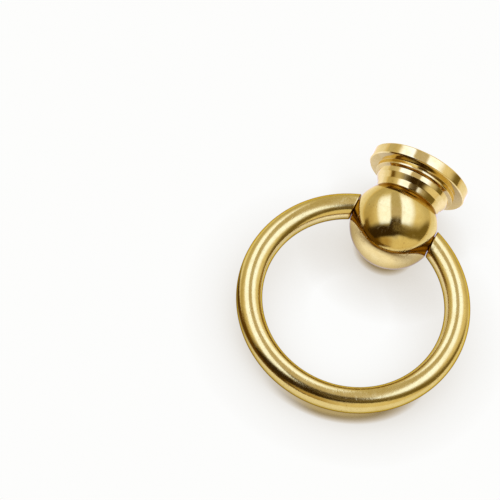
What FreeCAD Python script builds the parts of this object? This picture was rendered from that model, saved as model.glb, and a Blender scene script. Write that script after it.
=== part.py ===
import FreeCAD, Part
import math
import os

# Ring pull handle: a turned base, a pivot ball on its neck and a ring that swings in the ball.
# Frame: origin at the centre of the mounting face, +Z out of the tapped hole, X along the hinge.
# The ring is drawn as it lies on a table, swung a little about its hinge from straight down.
# All sizes are in millimetres, angles in degrees.

# Ring
ring_mid_diameter = 40.0        # centre line of the rod
rod_diameter = 5.0
rest_swing = -4.0               # about the hinge, from straight down to the ring as drawn
end_gap = 0.15                  # between each ring end and the ball
end_edge = 0.2                  # broken edge at each ring end
spigot_diameter = 3.0
spigot_length = 4.5
spigot_clearance = 0.05         # radial, running fit in the ball

# Pivot ball
ball_diameter = 17.0
flat_margin = 0.35              # how far each flat stands out around the rod
seat_distance = 5.6             # ball centre to the face that seats on the neck
ball_web = 1.1                  # metal left between the cross hole and the tenon hole

# Base, from the mounting face to the ball
base_diameter = 20.0
rim_height = 2.3
rim_edge = 0.2                  # broken edges of the rim
rim_face_fall = 0.15            # fall of the rim's front face towards the axis
collar_diameter = 16.2
collar_height = 0.9
collar_face_fall = 0.3          # fall of the collar's face towards the axis
step_diameter = 14.8
step_height = 0.95
step_taper = 0.1                # how much the step's radius shrinks towards the neck
shoulder_height = 1.1           # the coned part below the step
shoulder_fall = 0.61            # how much it takes off the radius
neck_height = 1.2               # from the shoulder to the ball
neck_blend = 0.6                # radius of the hollow between the shoulder and the neck

# Tenon that carries the ball
tenon_diameter = 6.0
tenon_clearance = 0.02          # radial
tenon_end_clearance = 0.15
tenon_edge = 0.3

# Tapped hole for an M4 machine screw, drawn at its tap drill size
tap_drill_diameter = 3.3
countersink_diameter = 6.0
tenon_floor = 0.9               # metal left beyond the drill point
drill_point_angle = 118.0

# Sizes that follow
ring_radius = ring_mid_diameter / 2
rod_radius = rod_diameter / 2
ball_radius = ball_diameter / 2
flat_radius = rod_radius + flat_margin
flat_distance = math.sqrt(ball_radius**2 - flat_radius**2)
ring_end = flat_distance + end_gap
ring_drop = math.sqrt(ring_radius**2 - ring_end**2)
spigot_radius = spigot_diameter / 2
cross_hole_radius = spigot_radius + spigot_clearance
lip_radius = math.sqrt(ball_radius**2 - seat_distance**2)

collar_top = rim_height + rim_face_fall
collar_foot = collar_top + collar_height
step_top = collar_foot + collar_face_fall
shoulder_top = step_top + step_height
neck_top = shoulder_top + shoulder_height
base_height = neck_top + neck_height
hinge_z = -(base_height + seat_distance)
seat_z = -base_height

tenon_radius = tenon_diameter / 2
tenon_length = seat_distance - cross_hole_radius - ball_web
tap_radius = tap_drill_diameter / 2
countersink_radius = countersink_diameter / 2
countersink_depth = countersink_radius - tap_radius
drill_point = tap_radius / math.tan(math.radians(drill_point_angle / 2))
hole_depth = base_height + tenon_length - tenon_floor - drill_point

x_axis = FreeCAD.Vector(1, 0, 0)
y_axis = FreeCAD.Vector(0, 1, 0)
z_axis = FreeCAD.Vector(0, 0, 1)
origin = FreeCAD.Vector(0, 0, 0)
hinge = FreeCAD.Vector(0, 0, hinge_z)


def at(radius, z):
    """A point of a turned profile, in the XZ plane."""
    return FreeCAD.Vector(radius, 0, z)


def outline(points):
    """Straight edges through the points, in order."""
    return [Part.makeLine(a, b) for a, b in zip(points, points[1:])]


def hollow(before, corner, after, radius):
    """Start and end of the arc that rounds a corner, and the arc itself."""
    inward = (before - corner).normalize()
    outward = (after - corner).normalize()
    half = inward.getAngle(outward) / 2
    start = corner + inward * (radius / math.tan(half))
    end = corner + outward * (radius / math.tan(half))
    bisector = (inward + outward).normalize()
    middle = corner + bisector * (radius / math.sin(half) - radius)
    return start, end, Part.Arc(start, middle, end).toShape()


def turned(edges):
    """The solid that a closed profile sweeps out about the Z axis."""
    wire = Part.Wire(edges)
    return Part.Face(wire).revolve(origin, z_axis, 360)


def make_base():
    """Turned base: one profile from the drill point, over the mounting face, down to the tenon."""
    rim_radius = base_diameter / 2
    collar_radius = collar_diameter / 2
    step_radius = step_diameter / 2
    step_foot = at(step_radius - step_taper, -shoulder_top)
    neck_root = at(step_foot.x - shoulder_fall, -neck_top)
    lip = at(lip_radius, seat_z)
    blend_start, blend_end, blend = hollow(step_foot, neck_root, lip, neck_blend)
    hole_and_rim = outline([
        at(0, -hole_depth - drill_point),
        at(tap_radius, -hole_depth),
        at(tap_radius, -countersink_depth),
        at(countersink_radius, 0),
        at(rim_radius - rim_edge, 0),
        at(rim_radius, -rim_edge),
        at(rim_radius, rim_edge - rim_height),
        at(rim_radius - rim_edge, -rim_height),
        at(collar_radius, -collar_top),
        at(collar_radius, -collar_foot),
        at(step_radius, -step_top),
        step_foot,
        blend_start,
    ])
    tenon_end = seat_z - tenon_length
    lip_and_tenon = outline([
        blend_end,
        lip,
        at(tenon_radius, seat_z),
        at(tenon_radius, tenon_end + tenon_edge),
        at(tenon_radius - tenon_edge, tenon_end),
        at(0, tenon_end),
        at(0, -hole_depth - drill_point),
    ])
    return turned(hole_and_rim + [blend] + lip_and_tenon)


def make_ball():
    """Ball with a seat for the neck, two flats, the cross hole and the blind hole for the tenon."""
    ball = Part.makeSphere(ball_radius, hinge)
    width = 2 * flat_distance
    reach = ball_radius + seat_distance
    stock = Part.makeBox(width, ball_diameter, reach)
    stock.translate(hinge - FreeCAD.Vector(flat_distance, ball_radius, ball_radius))
    ball = ball.common(stock)
    cross_hole = Part.makeCylinder(cross_hole_radius, width, hinge - x_axis * flat_distance, x_axis)
    depth = tenon_length + tenon_end_clearance
    tenon_hole = Part.makeCylinder(tenon_radius + tenon_clearance, depth, at(0, seat_z), -z_axis)
    return ball.cut([cross_hole, tenon_hole])


def make_ring():
    """Round rod bent to a circle, open at the ball, with a spigot on each squared end, swung to its rest."""
    centre = hinge - z_axis * ring_drop
    rod = Part.makeTorus(ring_radius, rod_radius, centre, y_axis)
    gap = Part.makeBox(2 * ring_end, rod_diameter, ring_radius + rod_radius)
    gap.translate(centre - FreeCAD.Vector(ring_end, rod_radius, 0))
    rod = rod.cut(gap)
    rod = rod.makeFillet(end_edge, end_edges(rod))
    root = rod_radius / 2           # how far each spigot starts inside the rod
    for side in (1, -1):
        start = hinge + x_axis * side * (ring_end + root)
        rod = rod.fuse(Part.makeCylinder(spigot_radius, root + spigot_length, start, x_axis * -side))
    return rod.removeSplitter().rotate(hinge, x_axis, rest_swing)


def end_edges(rod):
    """The closed edges around the two squared ends of the rod."""
    return [edge for edge in rod.Edges
            if all(abs(abs(vertex.X) - ring_end) < 1e-6 for vertex in edge.Vertexes)]


def main():
    os.makedirs("parts", exist_ok=True)
    nodes = {"base": make_base(), "pivot_ball": make_ball(), "ring": make_ring()}
    for name, shape in nodes.items():
        shape.exportStep(os.path.join("parts", name + ".step"))
        print(name, len(shape.Solids), "solid", shape.isValid(), round(shape.Volume, 1), "mm3", shape.BoundBox)


main()
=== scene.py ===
import math
import bpy
import numpy as np
from mathutils import Matrix, Vector


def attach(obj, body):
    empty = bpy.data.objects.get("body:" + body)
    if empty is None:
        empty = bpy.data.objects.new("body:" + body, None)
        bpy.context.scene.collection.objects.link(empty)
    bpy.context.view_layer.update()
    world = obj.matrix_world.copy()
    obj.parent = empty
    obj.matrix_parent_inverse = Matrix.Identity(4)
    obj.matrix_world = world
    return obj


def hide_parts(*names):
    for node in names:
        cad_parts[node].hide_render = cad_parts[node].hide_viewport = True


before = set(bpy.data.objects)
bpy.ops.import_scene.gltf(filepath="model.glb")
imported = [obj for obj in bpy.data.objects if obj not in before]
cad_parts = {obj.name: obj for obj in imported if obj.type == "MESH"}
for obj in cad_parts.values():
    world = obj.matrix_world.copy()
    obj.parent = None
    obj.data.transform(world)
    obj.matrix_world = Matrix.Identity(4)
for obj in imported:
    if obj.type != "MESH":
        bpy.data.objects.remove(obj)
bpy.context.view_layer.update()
scene = bpy.context.scene
mm = 0.001
white = (1, 1, 1, 1)
print("frame loaded:", sorted(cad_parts))


# Mesh helpers

# A closed strip of rings: rows are rings of points, the first and last row may shrink to a pole,
# or the rows may close on themselves like a hollow bead.
def ringSurface(name, rows, poles=(False, False), looped=False):
    count, around = rows.shape[:2]
    index = np.arange(count * around).reshape(count, around)
    if looped:
        index = np.vstack([index, index[:1]])
    nextIndex = np.roll(index, -1, axis=1)
    quads = np.stack([index[:-1], index[1:], nextIndex[1:], nextIndex[:-1]], axis=-1).reshape(-1, 4)
    points = rows.reshape(-1, 3)
    caps = []
    for atEnd, hasPole in zip((0, -1), poles):
        if hasPole:
            edge, step = index[atEnd], nextIndex[atEnd]
            tip = np.full(around, len(points))
            points = np.vstack([points, rows[atEnd].mean(axis=0)])
            caps.append(np.stack([tip, edge, step] if atEnd == 0 else [tip, step, edge], axis=-1))
    faces = quads.tolist() + [face for cap in caps for face in cap.tolist()]
    a, b, c, d = (points[quads[:, k]] for k in range(4))
    volume = np.einsum("ij,ij->", a, np.cross(b, c)) + np.einsum("ij,ij->", a, np.cross(c, d))
    for cap in caps:
        e, f, g = (points[cap[:, k]] for k in range(3))
        volume += np.einsum("ij,ij->", e, np.cross(f, g))
    if volume < 0:      # turned inside out, so every face is reversed
        faces = [face[::-1] for face in faces]
    mesh = bpy.data.meshes.new(name)
    mesh.from_pydata((points * mm).tolist(), [], faces)
    mesh.polygons.foreach_set("use_smooth", np.ones(len(mesh.polygons), bool))
    mesh.update()
    piece = bpy.data.objects.new(name, mesh)
    scene.collection.objects.link(piece)
    print(name, len(points), "points,", len(faces), "faces, volume", round(abs(volume) / 6), "mm3")
    return piece


# A value for every point of a mesh, read by its material.
def pointValue(piece, label, values):
    spare = len(piece.data.vertices) - values.size
    full = np.concatenate([values.ravel(), np.zeros(spare)]).astype(np.float32)
    piece.data.attributes.new(label, "FLOAT", "POINT").data.foreach_set("value", full)


# A turned profile: straight runs through the corners, each corner replaced by an arc of its own radius
# that touches both runs, and the runs cut into steps no longer than the one asked for.
def roundedProfile(corners, step, arcSteps=5, straight=1e-3):
    pts = np.array([c[:2] for c in corners], float)
    radii = [c[2] if len(c) > 2 else 0.0 for c in corners]
    line = [pts[0]]
    for before, here, after, radius in zip(pts, pts[1:], pts[2:], radii[1:]):
        inward, outward = before - here, after - here
        inward, outward = inward / np.linalg.norm(inward), outward / np.linalg.norm(outward)
        half = math.acos(np.clip(inward @ outward, -1, 1)) / 2
        if radius == 0 or abs(half - math.pi / 2) < straight:
            line.append(here)
            continue
        reach = radius / math.tan(half)
        bisector = (inward + outward) / np.linalg.norm(inward + outward)
        middle = here + bisector * radius / math.sin(half)
        start, end = here + inward * reach - middle, here + outward * reach - middle
        turn = np.linspace(0, 1, arcSteps + 1)[:, None]
        sweep = math.pi - 2 * half
        arc = (np.sin((1 - turn) * sweep) * start + np.sin(turn * sweep) * end) / math.sin(sweep)
        line.extend(middle + arc)
    line.append(pts[-1])
    full = [line[0]]
    for a, b in zip(line, line[1:]):
        pieces = max(1, math.ceil(np.linalg.norm(b - a) / step))
        full.extend(a + (b - a) * k / pieces for k in range(1, pieces + 1))
    return np.array(full)


# Base: turned from bar, with a threaded hole

basePiece = dict(
    around=240, step=0.3, edge=0.07, sharpEdge=0.04,
    rimRadius=10.0, rimHeight=2.3, rimEdge=0.2, rimFaceFall=0.15,
    collarRadius=8.1, collarHeight=0.9, collarFaceFall=0.3,
    stepRadius=7.4, stepHeight=0.95, stepTaper=0.1,
    shoulderHeight=1.1, shoulderFall=0.61, neckHeight=1.2, neckBlend=0.6, lipRadius=6.394,
    tenonRadius=3.0, tenonLength=2.95, tenonEdge=0.3, tenonCentre=0.4,
    drillRadius=1.65, drillDepth=7.959, drillPoint=0.991, pointRows=(0.9, 0.45), mouthRadius=3.0,
    threadRadius=2.0, pitch=0.7, threadRow=0.042, threadRoot=0.75, threadFlank=0.578, runOut=0.8,
)


# The outside is one profile turned about Z. The hole's wall is the larger of the countersink's cone and
# the thread: a 60 degree tooth whose place along Z moves on by one pitch for each turn about Z.
def makeBase(size):
    rim, face, rimEdge = size["rimRadius"], size["rimHeight"], size["rimEdge"]
    collar = size["collarRadius"]
    collarTop = face + size["rimFaceFall"]
    collarFoot = collarTop + size["collarHeight"]
    stepTop = collarFoot + size["collarFaceFall"]
    stepFoot = stepTop + size["stepHeight"]
    shoulder = size["stepRadius"] - size["stepTaper"]
    neckTop = stepFoot + size["shoulderHeight"]
    seat = neckTop + size["neckHeight"]
    tenon, tenonEdge, tenonEnd = size["tenonRadius"], size["tenonEdge"], seat + size["tenonLength"]
    edge, sharp = size["edge"], size["sharpEdge"]
    corners = [
        (size["mouthRadius"], 0), (rim - rimEdge, 0, edge), (rim, -rimEdge, edge),
        (rim, rimEdge - face, edge), (rim - rimEdge, -face, edge), (collar, -collarTop, sharp),
        (collar, -collarFoot, edge), (size["stepRadius"], -stepTop, sharp),
        (shoulder, -stepFoot, edge), (shoulder - size["shoulderFall"], -neckTop, size["neckBlend"]),
        (size["lipRadius"], -seat, sharp), (tenon, -seat), (tenon, tenonEdge - tenonEnd),
        (tenon - tenonEdge, -tenonEnd), (size["tenonCentre"], -tenonEnd),
    ]
    outside = roundedProfile(corners, size["step"])
    angle = np.linspace(0, 2 * math.pi, size["around"], endpoint=False)
    depth = size["drillDepth"]
    wallZ = np.linspace(-depth, 0, round(depth / size["threadRow"]))
    place = np.abs((wallZ[:, None] / size["pitch"] - angle / (2 * math.pi)) % 1 - 0.5) * 2
    tooth = np.clip((size["threadRoot"] - place) / size["threadFlank"], 0, 1)
    tooth = tooth * np.clip((wallZ + depth - size["runOut"]) / size["pitch"], 0, 1)[:, None]
    wall = size["drillRadius"] + (size["threadRadius"] - size["drillRadius"]) * tooth
    wall = np.maximum(wall, (size["mouthRadius"] + wallZ)[:, None])
    share = np.array(size["pointRows"])         # of the drill point's height
    pointZ = -depth - size["drillPoint"] * share
    point = size["drillRadius"] * (1 - share)
    allRound = np.ones_like(angle)
    radius = np.vstack([np.outer(point, allRound), wall, np.outer(outside[1:, 0], allRound)])
    z = np.concatenate([pointZ, wallZ, outside[1:, 1]])
    height = np.broadcast_to(z[:, None], radius.shape)
    rows = np.stack([radius * np.cos(angle), radius * np.sin(angle), height], -1)
    piece = ringSurface("base_turned", rows, poles=(True, True))
    mean = np.stack([radius.mean(axis=1), z], -1)
    along = np.concatenate([[0], np.cumsum(np.linalg.norm(np.diff(mean, axis=0), axis=1))])
    pointValue(piece, "along", np.broadcast_to(along[:, None], radius.shape))
    return piece


# Pivot ball: round about X between two flats, bored through, with a seat for the neck

ballPiece = dict(
    around=288, rows=200, hingeZ=-12.5, radius=8.5, seat=5.6, seatCatch=0.55,
    flatRadius=2.85, flatRows=(2.0, 2.5), flatEdge=0.05, edgeFall=0.3,
    boreRadius=1.55, boreEdge=0.05, boreRows=12,
)


# A loop turned about X: along the bore, up one flat, over the sphere and down the other flat. Points that
# come near the seat's circle are moved onto it, and those inside it are dropped onto the seat's plane.
def makeBall(size):
    radius, flat, bore = size["radius"], size["flatRadius"], size["boreRadius"]
    flatX = math.sqrt(radius**2 - flat**2)
    first = math.asin(flat / radius)
    sweep = np.linspace(first, math.pi - first, size["rows"])
    sphere = np.stack([radius * np.cos(sweep), radius * np.sin(sweep)], -1)
    soft = size["flatEdge"]
    flatRows = np.array([bore, bore + size["boreEdge"], *size["flatRows"], flat - 2 * soft, flat - soft])
    flatLine = np.stack([np.full(len(flatRows), flatX), flatRows], -1)
    fall = size["edgeFall"] * soft
    sphere[0] += (-fall, -fall)
    sphere[-1] += (fall, -fall)
    boreX = np.linspace(-flatX, flatX, size["boreRows"])[1:-1]
    boreLine = np.stack([boreX, np.full(len(boreX), bore)], -1)
    loop = np.vstack([flatLine, sphere, (flatLine * (-1, 1))[::-1], boreLine])
    angle = np.linspace(0, 2 * math.pi, size["around"], endpoint=False)
    x = np.broadcast_to(loop[:, :1], (len(loop), len(angle)))
    rows = np.stack([x, loop[:, 1:] * np.cos(angle), loop[:, 1:] * np.sin(angle)], -1)
    onSphere = np.zeros((len(loop), 1), bool)
    onSphere[len(flatRows):len(flatRows) + size["rows"]] = True
    lean = np.arccos(np.clip(rows[..., 2] / radius, -1, 1))
    seatLean = math.acos(size["seat"] / radius)
    cell = math.pi / size["rows"]
    near = onSphere & (np.abs(lean - seatLean) < size["seatCatch"] * cell)
    inside = onSphere & (lean < seatLean) & ~near
    turn = np.arctan2(rows[..., 1], rows[..., 0])
    rim = radius * math.sin(seatLean)
    onRim = np.stack([rim * np.cos(turn), rim * np.sin(turn), np.full_like(turn, size["seat"])], -1)
    rows = np.where(near[..., None], onRim, rows)
    rows[..., 2] = np.where(inside, size["seat"], rows[..., 2])
    return ringSurface("pivot_ball_turned", rows + (0, 0, size["hingeZ"]), looped=True)


# Ring: round rod bent to a circle, its ends squared to the hinge, with a pivot spigot on each

ringPiece = dict(
    along=420, around=72, hingeZ=-12.5, midRadius=20.0, rodRadius=2.5, endX=8.158, endEdge=0.2, edgeSteps=5,
    spigotRadius=1.5, spigotLength=4.5, spigotEdge=0.15, spigotCentre=0.3, spigotMiddle=2.0,
    spigotRoot=(0.05, 0.03), faceRows=(0.3, 0.7), restSwing=-4.0,
)


# The rod's circle is carried along the ring's arc. Each line along the rod stops where it meets the end's
# plane x = endX, so the ends are flat. Their edges are rounded by shrinking the circle near that plane.
def makeRing(size):
    big, small, endX, hingeZ = size["midRadius"], size["rodRadius"], size["endX"], size["hingeZ"]
    centreZ = hingeZ - math.sqrt(big**2 - endX**2)
    angle = np.linspace(0, 2 * math.pi, size["around"], endpoint=False)
    bend = np.linspace(math.pi / 2, 0, size["edgeSteps"] + 1)
    edge = size["endEdge"]
    section = np.concatenate([small - edge * (1 - np.cos(bend)), np.full(size["along"], small)])
    stopX = endX + edge * (1 - np.sin(bend))
    reach = big + section[:, None] * np.cos(angle)
    side = section[:, None] * np.sin(angle)
    turn = np.empty_like(reach)
    count = size["edgeSteps"] + 1
    turn[:count] = np.arcsin(stopX[:, None] / reach[:count])
    share = (np.arange(1, size["along"] + 1) / size["along"])[:, None]
    turn[count:] = turn[count - 1] + (math.pi - turn[count - 1]) * share
    half = np.stack([reach * np.sin(turn), side, centreZ + reach * np.cos(turn)], -1)
    stub, stubEdge, length = size["spigotRadius"], size["spigotEdge"], size["spigotLength"]
    rootX, rootFlare = size["spigotRoot"]
    stubX = endX - np.array([length, length, length - stubEdge, size["spigotMiddle"], rootX, 0.0])
    stubR = np.array([size["spigotCentre"], stub - stubEdge, stub, stub, stub, stub + rootFlare])[:, None]
    stubX = np.broadcast_to(stubX[:, None], (len(stubX), len(angle)))
    stubRows = np.stack([stubX, stubR * np.sin(angle), hingeZ + stubR * np.cos(angle)], -1)
    blend = np.array(size["faceRows"])[:, None, None]
    faceRows = stubRows[-1] + (half[0] - stubRows[-1]) * blend
    half = np.vstack([stubRows, faceRows, half])
    rows = np.vstack([half, half[-2::-1] * (-1, 1, 1)])
    swing = math.radians(size["restSwing"])     # about the hinge, as the ring lies at rest
    y, z = rows[..., 1], rows[..., 2] - hingeZ
    swungY = y * math.cos(swing) - z * math.sin(swing)
    swungZ = hingeZ + y * math.sin(swing) + z * math.cos(swing)
    return ringSurface("ring_bent_rod", np.stack([rows[..., 0], swungY, swungZ], -1), poles=(True, True))


# Node helpers

def feed(tree, socket, value):
    if isinstance(value, bpy.types.NodeSocket):
        tree.links.new(value, socket)
    else:
        socket.default_value = value


def addNode(tree, kind, sockets=None, **settings):
    node = tree.nodes.new(kind)
    for key, value in settings.items():
        setattr(node, key, value)
    for key, value in (sockets or {}).items():
        feed(tree, node.inputs[key], value)
    return node


def compute(tree, operation, a, b=0.0):
    return addNode(tree, "ShaderNodeMath", {0: a, 1: b}, operation=operation).outputs[0]


def times(tree, first, *others):
    for other in others:
        first = compute(tree, "MULTIPLY", first, other)
    return first


def plus(tree, first, *others):
    for other in others:
        first = compute(tree, "ADD", first, other)
    return first


def vectorWith(tree, operation, a, b):
    return addNode(tree, "ShaderNodeVectorMath", {0: a, 1: tuple(b)}, operation=operation).outputs


def dotWith(tree, vector, axis):
    return vectorWith(tree, "DOT_PRODUCT", vector, axis)["Value"]


# Smooth change of a value from one range to another.
def spread(tree, value, low, high, start=0.0, end=1.0):
    sockets = {"Value": value, "From Min": low, "From Max": high, "To Min": start, "To Max": end}
    return addNode(tree, "ShaderNodeMapRange", sockets, interpolation_type="SMOOTHSTEP").outputs["Result"]


# One inside a range of values and nothing outside it, with a soft change at each end.
def between(tree, value, ends, softness):
    (low, high), (lowSoft, highSoft) = ends, softness
    return times(tree, spread(tree, value, low - lowSoft, low + lowSoft),
                 spread(tree, value, high - highSoft, high + highSoft, 1.0, 0.0))


def blendColors(tree, amount, a, b, mode="MIX"):
    node = addNode(tree, "ShaderNodeMix", data_type="RGBA", blend_type=mode)
    for socket, value in zip((node.inputs[0], node.inputs[6], node.inputs[7]), (amount, a, b)):
        feed(tree, socket, value)
    return node.outputs[2]


def tint(tree, amount, color, tone):
    return blendColors(tree, amount, color, blendColors(tree, 1.0, color, tone, "MULTIPLY"))


# Colours set at stops along a value.
def colorRamp(tree, value, stops):
    node = addNode(tree, "ShaderNodeValToRGB", {0: value})
    ramp = node.color_ramp
    while len(ramp.elements) < len(stops):
        ramp.elements.new(1.0)
    for element, (place, color) in zip(ramp.elements, stops):
        element.position, element.color = place, color
    return node.outputs["Color"]


def noise(tree, vector, scale, detail=2.0, roughness=0.5, stretch=None):
    if stretch:
        vector = addNode(tree, "ShaderNodeMapping", {"Vector": vector, **stretch}).outputs[0]
    sockets = {"Vector": vector, "Scale": scale, "Detail": detail, "Roughness": roughness}
    return addNode(tree, "ShaderNodeTexNoise", sockets).outputs["Fac"]


def mixShaders(tree, amount, a, b):
    return addNode(tree, "ShaderNodeMixShader", {0: amount, 1: a, 2: b}).outputs[0]


def newGroup(name, inputs, outputs):
    tree = bpy.data.node_groups.new(name, "ShaderNodeTree")
    for way, sockets in (("INPUT", inputs), ("OUTPUT", outputs)):
        for label, kind in sockets.items():
            tree.interface.new_socket(label, in_out=way, socket_type="NodeSocket" + kind)
    return tree, tree.nodes.new("NodeGroupInput").outputs, tree.nodes.new("NodeGroupOutput").inputs


def useGroup(tree, group, sockets):
    return addNode(tree, "ShaderNodeGroup", sockets, node_tree=group).outputs


def newMaterial(name):
    material = bpy.data.materials.new(name)
    material.use_nodes = True
    return material, material.node_tree, material.node_tree.nodes["Principled BSDF"]


# Brass tone: two brass colours in soft clouds, finely mottled and darkened a little by specks of tarnish.
# Each noise is given as its scale, detail and roughness.
toneLook = dict(
    cloud=(220.0, 4.0, 0.55), cloudRange=(0.3, 0.7),
    mottle=(1700.0, 2.0, 0.6), mottleTone=(0.95, 0.93, 0.89, 1),
    speck=(1500.0, 3.0, 0.6), speckRange=(0.6, 0.75), speckTone=(0.36, 0.22, 0.07, 1),
)


def brassToneGroup(look):
    inputs = {"Position": "Vector", "Light Tone": "Color", "Deep Tone": "Color", "Tarnish": "Float"}
    tree, given, out = newGroup("brassTone", inputs, {"Color": "Color"})
    position = given["Position"]
    cloud = spread(tree, noise(tree, position, *look["cloud"]), *look["cloudRange"])
    color = blendColors(tree, cloud, given["Light Tone"], given["Deep Tone"])
    mottle = spread(tree, noise(tree, position, *look["mottle"]), *look["cloudRange"])
    color = tint(tree, mottle, color, look["mottleTone"])
    speck = spread(tree, noise(tree, position, *look["speck"]), *look["speckRange"])
    color = blendColors(tree, times(tree, speck, given["Tarnish"]), color, look["speckTone"])
    tree.links.new(color, out["Color"])
    return tree


# Fine scratches: three sets of long thin noise cells, each turned another way.
# They are kept where the noise is highest, and only in patches.
scratchLook = dict(
    scale=900.0, stretch=(1.0, 0.05, 0.6), turns=((0.3, 0.2, 0.5), (1.1, 0.7, 2.1), (2.0, 1.6, 0.9)),
    keep=(0.66, 0.74), patch=260.0, patchRange=(0.4, 0.62),
)


def scratchGroup(look):
    tree, given, out = newGroup("fineScratches", {"Position": "Vector"}, {"Height": "Float", "Mask": "Float"})
    position = given["Position"]
    total = 0.0
    for turn in look["turns"]:
        stretch = {"Rotation": turn, "Scale": look["stretch"]}
        lines = spread(tree, noise(tree, position, look["scale"], 1.0, stretch=stretch), *look["keep"])
        total = compute(tree, "MAXIMUM", lines, total)
    mask = times(tree, total, spread(tree, noise(tree, position, look["patch"], 1.0), *look["patchRange"]))
    tree.links.new(mask, out["Mask"])
    tree.links.new(times(tree, mask, -1.0), out["Height"])
    return tree


# Pits: small round cells, kept only in patches.
pitLook = dict(hole=(0.12, 0.34), patch=170.0, patchRange=(0.47, 0.6))


def pitGroup(look):
    inputs = {"Position": "Vector", "Scale": "Float", "Amount": "Float"}
    tree, given, out = newGroup("smallPits", inputs, {"Height": "Float", "Mask": "Float"})
    sockets = {"Vector": given["Position"], "Scale": given["Scale"], "Randomness": 1.0}
    cell = addNode(tree, "ShaderNodeTexVoronoi", sockets).outputs
    hole = spread(tree, cell["Distance"], *look["hole"], 1.0, 0.0)
    pick = addNode(tree, "ShaderNodeSeparateColor", {0: cell["Color"]}).outputs[0]
    keep = compute(tree, "LESS_THAN", pick, given["Amount"])
    patch = spread(tree, noise(tree, given["Position"], look["patch"]), *look["patchRange"])
    mask = times(tree, hole, keep, patch)
    tree.links.new(mask, out["Mask"])
    tree.links.new(times(tree, mask, -1.0), out["Height"])
    return tree


brassTone, fineScratches, smallPits = brassToneGroup(toneLook), scratchGroup(scratchLook), pitGroup(pitLook)


def brassPits(tree, position, look):
    sockets = {"Position": position, "Scale": look["pits"], "Amount": look["pitAmount"]}
    return useGroup(tree, smallPits, sockets)


def brassColor(tree, position, look, pits):
    tones = {"Light Tone": look["light"], "Deep Tone": look["deep"], "Tarnish": look["tarnish"]}
    tone = useGroup(tree, brassTone, {"Position": position, **tones})
    return blendColors(tree, times(tree, pits["Mask"], look["pitShade"]), tone["Color"], look["pitTone"])


def finishBrass(tree, shader, look, color, rough, height):
    bump = addNode(tree, "ShaderNodeBump", {"Height": height, "Distance": look["bump"], "Strength": 1.0})
    feed(tree, shader.inputs["Base Color"], color)
    feed(tree, shader.inputs["Roughness"], rough)
    feed(tree, shader.inputs["Normal"], bump.outputs["Normal"])
    shader.inputs["Metallic"].default_value = 1.0
    shader.inputs["Specular Tint"].default_value = look["edge"]


# Ball and ring: tumble polished, softly uneven, with fine scratches and a few pits. Seen in other metal
# they are painted deeper in tone, a painted reflection, and the ball is painted browner close under the neck,
# a painted shade.
satinBrass = dict(
    bump=0.00001, tarnish=0.25, pitAmount=0.35, pitShade=0.45, pitTone=(0.30, 0.18, 0.05, 1), pitDepth=0.9,
    dull=(500.0, 4.0, 0.6), dullRange=(0.3, 0.7), scratchDull=0.12, scratchDepth=0.10,
    wave=190.0, waveDepth=1.6, grain=3600.0,
)
polishedBrass = dict(
    satinBrass, light=(0.665, 0.51, 0.163, 1), deep=(0.63, 0.465, 0.132, 1), edge=(0.85, 0.76, 0.53, 1),
    roughness=(0.08, 0.14), pits=1400.0, grainDepth=0.14, paintedMirrorTone=(0.85, 0.75, 0.55, 1),
    paintedNeckShadeFrom=(-0.0088, -0.0077), paintedNeckShade=(0.47, 0.30, 0.09, 1),
)
handledBrass = dict(
    satinBrass, light=(0.665, 0.515, 0.165, 1), deep=(0.63, 0.47, 0.135, 1), edge=(0.42, 0.28, 0.08, 1),
    roughness=(0.12, 0.18), pits=2200.0, grainDepth=0.7, paintedMirrorTone=(0.55, 0.38, 0.12, 1),
)


def makeSatinBrass(name, look):
    material, tree, shader = newMaterial(name)
    position = tree.nodes.new("ShaderNodeTexCoord").outputs["Object"]
    scratch = useGroup(tree, fineScratches, {"Position": position})
    pits = brassPits(tree, position, look)
    color = brassColor(tree, position, look, pits)
    # Painted shade: the ball's colour turns browner towards the neck, standing in for the neck's shade and
    # reflection.
    if "paintedNeckShade" in look:
        z = addNode(tree, "ShaderNodeSeparateXYZ", {0: position}).outputs["Z"]
        color = tint(tree, spread(tree, z, *look["paintedNeckShadeFrom"]), color, look["paintedNeckShade"])
    # Painted reflection: where the metal is seen in other metal, its colour is tinted deeper in tone.
    paintedMirrorTone = tree.nodes.new("ShaderNodeLightPath").outputs["Is Glossy Ray"]
    color = tint(tree, paintedMirrorTone, color, look["paintedMirrorTone"])
    rough = spread(tree, noise(tree, position, *look["dull"]), *look["dullRange"], *look["roughness"])
    rough = plus(tree, rough, times(tree, scratch["Mask"], look["scratchDull"]))
    height = plus(tree, times(tree, noise(tree, position, look["wave"], 1.0), look["waveDepth"]),
                  times(tree, scratch["Height"], look["scratchDepth"]),
                  times(tree, noise(tree, position, look["grain"], 1.0), look["grainDepth"]),
                  times(tree, pits["Height"], look["pitDepth"]))
    finishBrass(tree, shader, look, color, rough, height)
    return material


# Base: bright from the lathe. Turning lines follow the profile, read from the mesh's own "along" value.
turnedBrass = dict(
    light=(0.715, 0.56, 0.215, 1), deep=(0.665, 0.49, 0.15, 1), edge=(0.88, 0.79, 0.57, 1), tarnish=0.12,
    roughness=(0.07, 0.12), bump=0.0000006, pits=1800.0, pitAmount=0.25, pitShade=0.5,
    pitTone=(0.34, 0.20, 0.07, 1), pitDepth=1.5, lines=dict(Scale=9.0, Detail=3.0, Roughness=0.7),
    feedLines=dict(Scale=38.0, Detail=1.0), feedDepth=0.5, grooveRange=(0.5, 1.0),
)


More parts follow.
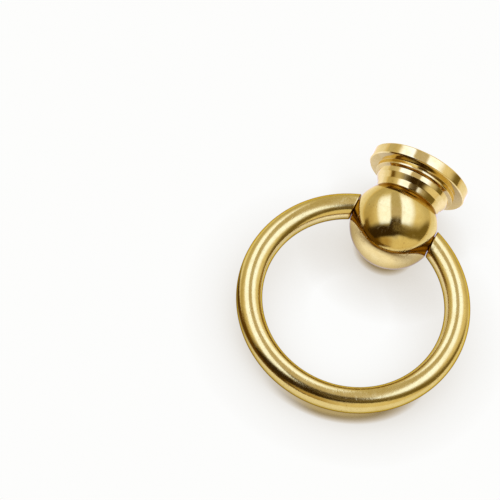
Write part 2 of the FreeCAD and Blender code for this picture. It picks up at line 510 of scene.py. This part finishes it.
def makeTurnedBrass(look):
    material, tree, shader = newMaterial("turned_brass_bright")
    position = tree.nodes.new("ShaderNodeTexCoord").outputs["Object"]
    along = addNode(tree, "ShaderNodeAttribute", attribute_name="along").outputs["Fac"]
    pits = brassPits(tree, position, look)
    lines, feedLines = (
        addNode(tree, "ShaderNodeTexNoise", {"W": along, **look[key]}, noise_dimensions="1D").outputs["Fac"]
        for key in ("lines", "feedLines"))
    groove = plus(tree, lines, times(tree, feedLines, look["feedDepth"]))
    color = brassColor(tree, position, look, pits)
    rough = spread(tree, groove, *look["grooveRange"], *look["roughness"])
    height = plus(tree, groove, times(tree, pits["Height"], look["pitDepth"]))
    finishBrass(tree, shader, look, color, rough, height)
    return material


# Pieces on their bodies

def dress(piece, node, body, material):
    piece.data.materials.append(material)
    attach(piece, body)
    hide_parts(node)


polished = makeSatinBrass("satin_brass_polished", polishedBrass)
handled = makeSatinBrass("satin_brass_handled", handledBrass)
turned = makeTurnedBrass(turnedBrass)
dress(makeBase(basePiece), "base", "base_and_ball", turned)
dress(makeBall(ballPiece), "pivot_ball", "base_and_ball", polished)
dress(makeRing(ringPiece), "ring", "swinging_ring", handled)
print("pieces dressed")


# Camera: a long lens in front of the ring and below it, as the pull lies on a table.
cameraView = dict(
    lens=261.99, sensor=36.0, clip=(0.05, 5.0), place=(32.695, -651.532, -267.886),
    right=(0.89376, -0.08536, 0.44035), down=(0.44154, 0.3403, -0.8302), ahead=(-0.07898, 0.93644, 0.34183),
)


def makeCamera(view):
    data = bpy.data.cameras.new("camera")
    data.lens, data.sensor_width = view["lens"], view["sensor"]
    data.clip_start, data.clip_end = view["clip"]
    camera = bpy.data.objects.new("camera", data)
    scene.collection.objects.link(camera)
    right, down, ahead = (Vector(view[key]) for key in ("right", "down", "ahead"))
    turn = Matrix((right, -down, -ahead)).transposed().to_4x4()
    camera.matrix_world = Matrix.Translation(Vector(view["place"]) * mm) @ turn
    scene.camera = camera


# Table: the ball and the far side of the ring rest on it, so it leans a little from the ring's plane.
# The sizes in its first line are in millimetres, and the distances of shadows and tones are in metres.
table = dict(
    hingeZ=-12.5, ballRadius=8.5, ringReach=38.26, rodRadius=2.5, half=400.0, level=1.19, samples=16,
    shadowReach=0.011, shadowTilt=0.3, shadow=(0.59, 0.53, 0.45, 1),
    contactReach=0.0022, contactTilt=0.7, contactLeft=(-0.013, -0.026),
    # Painted contact shadow: a golden painted reflection of the brass next to the rod, a dark line, then a
    # fade to white.
    contact=((0.28, (0.68, 0.54, 0.26, 1)), (0.38, (0.33, 0.24, 0.10, 1)), (0.52, (0.55, 0.46, 0.31, 1)),
             (0.72, (0.77, 0.70, 0.60, 1)), (0.95, white)),
    mirrorReach=0.011, mirrorTilt=-0.5, mirrorBack=(0.0, 0.010), mirrorPower=(1.8, 0.8),
    deepShadow=(0.15, 0.08, 0.015, 1), onEdge=(0.6, 0.8), belowReach=0.020, belowOpen=(0.80, 0.99),
    below=(1.20, 1.28, 2.15, 1), nearFrom=(0.022, 0.050), near=(1.0, 1.02, 1.30, 1),
    farFrom=(0.03, 0.20), far=(0.82, 0.72, 0.57, 1),
    paintedLeftShade=(0.12, 0.06, 0.006, 1), leftFrom=(-0.031, -0.037), leftBack=(0.002, -0.008),
)
lean = math.asin((table["ballRadius"] - table["rodRadius"]) / table["ringReach"])
lean -= math.radians(ringPiece["restSwing"])
tableUp = Vector((0, -math.cos(lean), math.sin(lean)))
tableRight = Vector(cameraView["right"])
tableRight = (tableRight - tableUp * tableRight.dot(tableUp)).normalized()
tableBack = tableUp.cross(tableRight)       # away from the camera
ballCentre = Vector((0, 0, table["hingeZ"])) * mm


# To the camera the table is only a shadow on white. In the metal it glows, with its own tones near and far.
def makeTable(size):
    foot = ballCentre - tableUp * size["ballRadius"] * mm
    half = size["half"] * mm
    square = ((-1, -1), (1, -1), (1, 1), (-1, 1))
    corners = [foot + tableRight * half * a + tableBack * half * b for a, b in square]
    mesh = bpy.data.meshes.new("table")
    mesh.from_pydata([tuple(c) for c in corners], [], [(0, 1, 2, 3)])
    plane = bpy.data.objects.new("table", mesh)
    scene.collection.objects.link(plane)
    material, tree, shader = newMaterial("table_white")
    tree.nodes.remove(shader)
    camera = tree.nodes.new("ShaderNodeLightPath").outputs["Is Camera Ray"]
    geometry = tree.nodes.new("ShaderNodeNewGeometry").outputs
    position = geometry["Position"]

    # How open the table is on one side, within reach, looking by the tilt towards what is behind the object.
    def openness(reach, tilt, below=False):
        way = (tableUp + tableBack * tilt).normalized()
        normal = addNode(tree, "ShaderNodeCombineXYZ", {"X": way.x, "Y": way.y, "Z": way.z}).outputs[0]
        sockets = {"Distance": reach, "Normal": normal}
        settings = dict(samples=size["samples"], inside=below)
        return addNode(tree, "ShaderNodeAmbientOcclusion", sockets, **settings).outputs["AO"]

    def fromFoot(axis):
        return compute(tree, "SUBTRACT", dotWith(tree, position, axis), axis.dot(foot))

    sideways, backwards = fromFoot(tableRight), fromFoot(tableBack)
    whole = openness(size["belowReach"], 0.0, below=True)
    whole = spread(tree, whole, *size["belowOpen"])     # zero where the ring has swung through the table
    lit = openness(size["shadowReach"], size["shadowTilt"])
    shade = blendColors(tree, lit, size["shadow"], white)
    # Painted contact shadow under the rod and ball, golden next to the rod as a painted reflection of the
    # brass, faded out to the left.
    touch = colorRamp(tree, openness(size["contactReach"], size["contactTilt"]), size["contact"])
    touch = blendColors(tree, spread(tree, sideways, *size["contactLeft"]), touch, white)
    shade = blendColors(tree, 1.0, shade, touch, "MULTIPLY")
    facing = addNode(tree, "ShaderNodeLayerWeight", {"Blend": 0.5}).outputs["Facing"]
    shade = blendColors(tree, spread(tree, facing, *size["onEdge"]), shade, white)
    shade = blendColors(tree, whole, white, shade)

    # What the metal sees: the table glows as a lamp, bluish and bright around the foot and warmer far off,
    # with a painted dark patch to the left of the foot and painted shade close to the object.
    offset = vectorWith(tree, "DISTANCE", position, foot)["Value"]
    seen = blendColors(tree, spread(tree, offset, *size["nearFrom"]), size["below"], size["near"])
    seen = blendColors(tree, spread(tree, offset, *size["farFrom"]), seen, size["far"])
    left = times(tree, spread(tree, sideways, *size["leftFrom"]), spread(tree, backwards, *size["leftBack"]))
    seen = blendColors(tree, left, seen, size["paintedLeftShade"])
    power = spread(tree, backwards, *size["mirrorBack"], *size["mirrorPower"])
    close = compute(tree, "POWER", openness(size["mirrorReach"], size["mirrorTilt"]), power)
    seen = blendColors(tree, close, size["deepShadow"], seen)

    glow = addNode(tree, "ShaderNodeEmission", {"Color": seen, "Strength": size["level"]}).outputs[0]
    shaded = addNode(tree, "ShaderNodeBsdfTransparent", {"Color": shade}).outputs[0]
    through = addNode(tree, "ShaderNodeBsdfTransparent").outputs[0]
    front = mixShaders(tree, whole, through, mixShaders(tree, camera, glow, shaded))
    both = mixShaders(tree, geometry["Backfacing"], front, through)
    tree.links.new(both, tree.nodes["Material Output"].inputs["Surface"])
    mesh.materials.append(material)


# Light tent: a pale dome with two light bars overhead and a dim open front, behind the camera.
# Its colour is set by direction from the ball: u and v are degrees from straight up, to the right and away.
# Across is a range of u and Away a range of v. The bars are ranges of the slope to the right.
tent = dict(
    radius=450.0, around=64, rows=34, level=1.19, least=(0.0004, 0.05),
    high=(0.94, 0.89, 0.86, 1), wallFrom=(48.0, 78.0), wallAcross=(-45.0, 45.0),
    leftWall=(0.58, 0.49, 0.32, 1), rightWall=(0.74, 0.67, 0.57, 1),
    backAway=(15.0, 65.0), backWall=(0.64, 0.60, 0.53, 1),
    frontAway=(-35.0, -65.0), frontAcross=(-30.0, 5.0),
    frontWall=(0.52, 0.39, 0.20, 1), frontRight=(0.88, 0.80, 0.68, 1),
    lowFrom=(74.0, 84.0), lowAway=(16.0, 2.0), lowAcross=(-40.0, -60.0), lowLeft=(0.16, 0.09, 0.01, 1),
    bar=(1.40, 1.70, 3.6, 1), leftBar=(-1.22, -0.35), rightBar=(0.15, 0.80), barSoft=(0.30, 0.05),
    barAway=(-27.0, 51.0), barAwaySoft=(3.0, 14.0),
    gap=(0.60, 0.55, 0.50, 1), gapNear=(0.64, 0.59, 0.63, 1), gapAway=(22.0, 10.0), gapSoft=(0.1, 0.1),
    gapUpTo=(62.0, 72.0),
    darkIn=-28.0, darkOut=-62.0, darkSoft=(10.0, 4.0), darkAcross=(-8.0, 42.0),
    darkLeft=(0.040, 0.022, 0.006, 1), darkRight=(0.20, 0.15, 0.05, 1),
    inRise=(((-25.0, -65.0), 6.0), ((25.0, 65.0), 9.0), ((58.0, 88.0), 36.0)),
    outRise=(((-15.0, 5.0), 5.0), ((40.0, 75.0), 9.0)), softAcross=(0.0, 40.0), softRange=(1.0, 0.65),
    chimney=16.0, chimneyAcross=(-20.0, 8.0), chimneySoft=(5.0, 4.0),
    darkMiddle=(0.30, 0.25, 0.17, 1), cloud=(26.0, 3.0, 0.6), cloudRange=(0.42, 0.62),
    middleAcross=(-13.0, 32.0), middleAcrossSoft=(6.0, 8.0),
    middleAway=(-47.0, -22.0), middleAwaySoft=(3.0, 6.0),
)


def makeTent(size):
    angle = np.linspace(0, 2 * math.pi, size["around"], endpoint=False)
    rise = np.linspace(-math.pi / 2, math.pi / 2, size["rows"])[1:-1]
    radius = size["radius"] * np.cos(rise)[:, None]
    height = np.broadcast_to(size["radius"] * np.sin(rise)[:, None], (len(rise), len(angle)))
    rows = np.stack([radius * np.cos(angle), radius * np.sin(angle), height], -1)
    dome = ringSurface("light_tent", rows, poles=(True, True))
    dome.visible_camera = False
    dome.visible_shadow = False
    material, tree, shader = newMaterial("tent_glow")
    tree.nodes.remove(shader)
    place = tree.nodes.new("ShaderNodeTexCoord").outputs["Object"]
    way = vectorWith(tree, "SUBTRACT", place, ballCentre)["Vector"]
    way = addNode(tree, "ShaderNodeVectorMath", {0: way}, operation="NORMALIZE").outputs["Vector"]

    up, right, back = (dotWith(tree, way, axis) for axis in (tableUp, tableRight, tableBack))
    up = compute(tree, "ABSOLUTE", up)      # the same tent below the table, for views from behind
    leastFlat, leastUp = size["least"]      # so that nothing is divided by zero
    lean = times(tree, compute(tree, "ARCCOSINE", up), 180 / math.pi)
    flat = compute(tree, "MAXIMUM", compute(tree, "SUBTRACT", 1.0, times(tree, up, up)), leastFlat)
    flat = compute(tree, "SQRT", flat)
    u, v = (times(tree, compute(tree, "DIVIDE", side, flat), lean) for side in (right, back))
    slope = compute(tree, "DIVIDE", right, compute(tree, "MAXIMUM", up, leastUp))

    def ranged(value, key, *ends):
        return spread(tree, value, *size[key], *ends)

    # Walls, from pale overhead to deeper tones low down
    wall = blendColors(tree, ranged(u, "wallAcross"), size["leftWall"], size["rightWall"])
    wall = blendColors(tree, ranged(v, "backAway"), wall, size["backWall"])
    frontWall = blendColors(tree, ranged(u, "frontAcross"), size["frontWall"], size["frontRight"])
    wall = blendColors(tree, ranged(v, "frontAway"), wall, frontWall)
    color = blendColors(tree, ranged(lean, "wallFrom"), size["high"], wall)
    low = times(tree, ranged(lean, "lowFrom"), ranged(v, "lowAway"), ranged(u, "lowAcross"))
    color = blendColors(tree, low, color, size["lowLeft"])

    # Light bars and the gap between them
    outer, inner = size["barSoft"]
    gapColor = blendColors(tree, ranged(v, "gapAway"), size["gap"], size["gapNear"])
    gapEnds = (size["leftBar"][1], size["rightBar"][0])
    gapMask = times(tree, between(tree, slope, gapEnds, size["gapSoft"]), ranged(lean, "gapUpTo", 1.0, 0.0))
    color = blendColors(tree, gapMask, color, gapColor)
    bars = plus(tree, between(tree, slope, size["leftBar"], (outer, inner)),
                between(tree, slope, size["rightBar"], (inner, outer)))
    bars = times(tree, bars, between(tree, v, size["barAway"], size["barAwaySoft"]))
    color = blendColors(tree, bars, color, size["bar"])

    # Dim open front: its inner edge rises to both sides and between the bars, its outer edge to the right
    rises = [times(tree, spread(tree, u, *across), amount) for across, amount in size["inRise"]]
    chimney = between(tree, u, size["chimneyAcross"], size["chimneySoft"])
    edge = plus(tree, size["darkIn"], *rises, times(tree, chimney, size["chimney"]))
    inSoft, outSoft = size["darkSoft"]
    depth = times(tree, compute(tree, "SUBTRACT", v, edge), ranged(u, "softAcross", *size["softRange"]))
    foot = v
    for across, amount in size["outRise"]:
        foot = compute(tree, "SUBTRACT", foot, times(tree, spread(tree, u, *across), amount))
    outMask = spread(tree, foot, size["darkOut"] - outSoft, size["darkOut"] + outSoft)
    darkMask = times(tree, spread(tree, depth, inSoft, -inSoft), outMask)
    dark = blendColors(tree, ranged(u, "darkAcross"), size["darkLeft"], size["darkRight"])
    middle = times(tree, between(tree, u, size["middleAcross"], size["middleAcrossSoft"]),
                   between(tree, v, size["middleAway"], size["middleAwaySoft"]),
                   spread(tree, noise(tree, way, *size["cloud"]), *size["cloudRange"]))
    dark = blendColors(tree, middle, dark, size["darkMiddle"])
    color = blendColors(tree, darkMask, color, dark)
    glow = addNode(tree, "ShaderNodeEmission", {"Color": color, "Strength": size["level"]}).outputs[0]
    tree.links.new(glow, tree.nodes["Material Output"].inputs["Surface"])
    dome.data.materials.append(material)


whiteRoom = dict(color=(0.982, 0.982, 0.972, 1), strength=1.0)


def makeWorld(look):
    world = bpy.data.worlds.new("white_room")
    world.use_nodes = True
    background = world.node_tree.nodes["Background"]
    background.inputs["Color"].default_value = look["color"]
    background.inputs["Strength"].default_value = look["strength"]
    scene.world = world


makeCamera(cameraView)
makeTable(table)
makeTent(tent)
makeWorld(whiteRoom)
scene.view_settings.view_transform = "Standard"
print("stage set")
